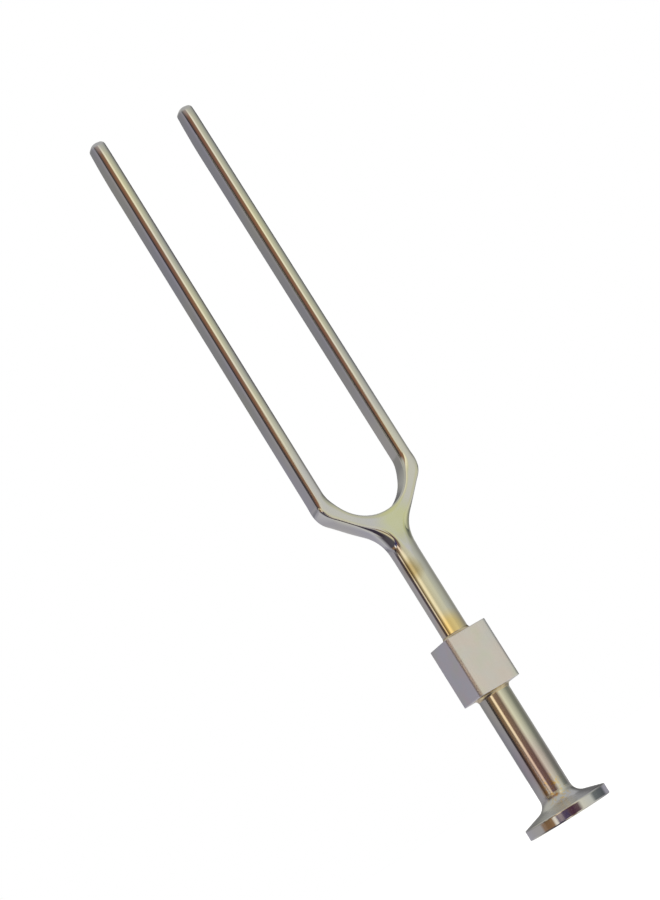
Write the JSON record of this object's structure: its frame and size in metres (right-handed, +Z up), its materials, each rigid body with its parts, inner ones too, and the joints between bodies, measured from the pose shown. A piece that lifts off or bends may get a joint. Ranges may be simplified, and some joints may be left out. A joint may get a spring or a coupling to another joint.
{
  "type": "tuning fork",
  "caption": "Polished steel tuning fork: two long straight tines on a rounded yoke, a round neck, a square block on the stem and a round flared foot.",
  "frame": {"origin": "centre of the foot's flat underside", "axes": "+Z up the stem to the tips of the tines, +X from the left tine to the right tine, +Y from the front face to the back face"},
  "size_m": [0.0276, 0.0202, 0.1861],
  "materials": {
    "polished_steel": "mirror polish with faint wavy polishing marks",
    "satin_steel": "flat ground faces, satin",
    "braze": "polished silver-solder fillet"
  },
  "bodies": {
    "handle": {"yoke": "polished_steel", "neck_braze": "braze", "block": "satin_steel", "stem_braze": "braze", "stem": "polished_steel", "foot": "polished_steel"},
    "left_tine_body": {"left_tine": "polished_steel"},
    "right_tine_body": {"right_tine": "polished_steel"}
  },
  "joints": [
    {"name": "left_tine_flex", "type": "hinge", "parent": "handle", "child": "left_tine_body", "pos_m": [-0.01205, 0, 0.10746], "axis": [0, 1, 0], "range_deg": [-0.6, 0.6], "stiffness_Nm_per_rad": 72},
    {"name": "right_tine_flex", "type": "hinge", "parent": "handle", "child": "right_tine_body", "pos_m": [0.01205, 0, 0.10746], "axis": [0, 1, 0], "range_deg": [-0.6, 0.6], "stiffness_Nm_per_rad": 72}
  ],
  "couplings": [
    {"joint": "right_tine_flex", "follows": "left_tine_flex", "ratio": -1}
  ]
}
